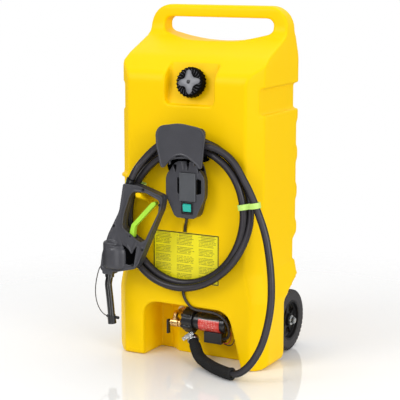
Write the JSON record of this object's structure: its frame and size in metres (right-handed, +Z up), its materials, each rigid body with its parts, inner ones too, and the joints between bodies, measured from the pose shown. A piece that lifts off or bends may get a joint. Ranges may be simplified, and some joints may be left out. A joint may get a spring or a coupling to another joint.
{
  "type": "wheeled fuel caddy",
  "caption": "Upright moulded fuel tank on wheels with a carrying handle, filler cap, electric pump in a niche, and a coiled hose on a hook that ends in a trigger nozzle.",
  "frame": {"origin": "on the floor under the middle of the tank", "axes": "+X to the right of a person facing the front of the tank, +Y to the back of the tank where the wheels are, +Z up"},
  "size_m": [0.6109, 0.4766, 1.067],
  "materials": {
    "tank_yellow": "satin moulded",
    "label_yellow": "printed film",
    "charcoal_plastic": "fine texture",
    "black_plastic": "satin",
    "cap_black": "satin",
    "cap_grey": "satin",
    "hose_rubber": "smooth",
    "cable_black": "smooth",
    "seal_rubber": "smooth",
    "tyre_black": "moulded",
    "rim_black": "satin",
    "bush_grey": "satin",
    "zinc_steel": "zinc plated",
    "screw_steel": "plated",
    "brass": "plain",
    "motor_red": "glossy sleeve",
    "motor_black": "powder coat",
    "pump_black": "painted casting",
    "lime_plastic": "satin",
    "teal_switch": "translucent",
    "spring_steel": "plain",
    "wire_red": "insulation",
    "magnet_grey": "ferrite",
    "copper": "wound"
  },
  "bodies": {
    "root": {"axle": "zinc_steel", "axle_fixings": "zinc_steel", "cable_gland": "black_plastic", "hose_clamp": "zinc_steel", "hose_coil": "hose_rubber", "hose_hook": "charcoal_plastic", "hose_leg": "hose_rubber", "hose_sleeve": "hose_rubber", "hose_straps": "lime_plastic", "hose_tail": "hose_rubber", "inlet_nipple": "brass", "junction_box": "black_plastic", "label_plate": "label_yellow", "motor_band": "motor_red", "motor_bearings": "zinc_steel", "motor_bracket": "motor_black", "motor_end_bell": "motor_black", "motor_housing": "motor_black", "motor_magnets": "magnet_grey", "motor_wires": "wire_red", "neck_collar": "tank_yellow", "power_cable": "cable_black", "pump_cover": "pump_black", "pump_head": "pump_black", "pump_outlet": "zinc_steel", "pump_screws": "screw_steel", "switch_bezel": "black_plastic", "switch_housing": "charcoal_plastic", "tank": "tank_yellow", "tank_elbow": "brass", "valve_body": "brass", "wall_screws": "screw_steel"},
    "wheel_right": {"tyre_right": "tyre_black", "rim_right": "rim_black", "bush_right": "bush_grey"},
    "wheel_left": {"tyre_left": "tyre_black", "rim_left": "rim_black", "bush_left": "bush_grey"},
    "cap": {"cap_shell": "cap_black", "cap_insert": "cap_grey"},
    "nozzle": {"nozzle_front_shell": "charcoal_plastic", "nozzle_back_shell": "charcoal_plastic", "nozzle_screws": "screw_steel", "nozzle_inlet": "black_plastic", "nozzle_spout": "black_plastic", "trigger_pin": "zinc_steel", "trigger_spring": "spring_steel", "poppet_spring": "spring_steel", "cap_tether": "cable_black"},
    "trigger": {"trigger": "lime_plastic"},
    "spout_cap": {"spout_cap": "black_plastic"},
    "rocker": {"rocker_switch": "teal_switch"},
    "valve_key": {"valve_ball": "zinc_steel", "valve_stem": "brass", "valve_lever": "black_plastic"},
    "battery": {"battery_pack": "black_plastic"},
    "pump_rotor": {"pump_rotor": "zinc_steel", "motor_armature": "copper"},
    "cap_seal": {"cap_gasket": "seal_rubber"},
    "poppet": {"valve_poppet": "brass"}
  },
  "joints": [
    {"name": "wheel_right_spin", "type": "hinge", "parent": "root", "child": "wheel_right", "pos_m": [0.2065, 0.127, 0.096], "axis": [1, 0, 0], "continuous": true},
    {"name": "wheel_left_spin", "type": "hinge", "parent": "root", "child": "wheel_left", "pos_m": [-0.2065, 0.127, 0.096], "axis": [1, 0, 0], "continuous": true},
    {"name": "cap_rise", "type": "slide", "parent": "root", "child": "cap_seal", "axis": [0, -0.9744, 0.225], "range_m": [0, 0.0126]},
    {"name": "cap_turn", "type": "hinge", "parent": "cap_seal", "child": "cap", "pos_m": [0.01, -0.109, 0.845], "axis": [0, -0.9744, 0.225], "range_deg": [0, 900]},
    {"name": "nozzle_lift", "type": "slide", "parent": "root", "child": "nozzle", "axis": [0, -0.9397, 0.342], "range_m": [0, 0.06], "deforming": ["hose_tail"]},
    {"name": "trigger_squeeze", "type": "hinge", "parent": "nozzle", "child": "trigger", "pos_m": [-0.15, -0.1995, 0.389], "axis": [0, -1, 0], "range_deg": [0, 11], "stiffness_Nm_per_rad": 2, "springref_deg": -5.73, "deforming": ["poppet_spring"]},
    {"name": "poppet_lift", "type": "slide", "parent": "nozzle", "child": "poppet", "axis": [0, 0, 1], "range_m": [0, 0.0028]},
    {"name": "spout_cap_pull", "type": "slide", "parent": "nozzle", "child": "spout_cap", "axis": [0.0892, 0, -0.996], "range_m": [0, 0.03], "deforming": ["cap_tether"]},
    {"name": "switch_rock", "type": "hinge", "parent": "root", "child": "rocker", "pos_m": [0.028, -0.1815, 0.4855], "axis": [-1, 0, 0], "range_deg": [0, 16]},
    {"name": "valve_turn", "type": "hinge", "parent": "root", "child": "valve_key", "pos_m": [-0.061, -0.097, 0.106], "axis": [-1, 0, 0], "range_deg": [0, 90]},
    {"name": "battery_pull", "type": "slide", "parent": "root", "child": "battery", "axis": [0, -1, 0], "range_m": [0, 0.034]},
    {"name": "pump_spin", "type": "hinge", "parent": "root", "child": "pump_rotor", "pos_m": [0, -0.097, 0.121], "axis": [1, 0, 0], "continuous": true}
  ],
  "couplings": [
    {"joint": "cap_rise", "follows": "cap_turn", "m_per_rad": 0.000796},
    {"joint": "poppet_lift", "follows": "trigger_squeeze", "m_per_rad": 0.0145}
  ]
}
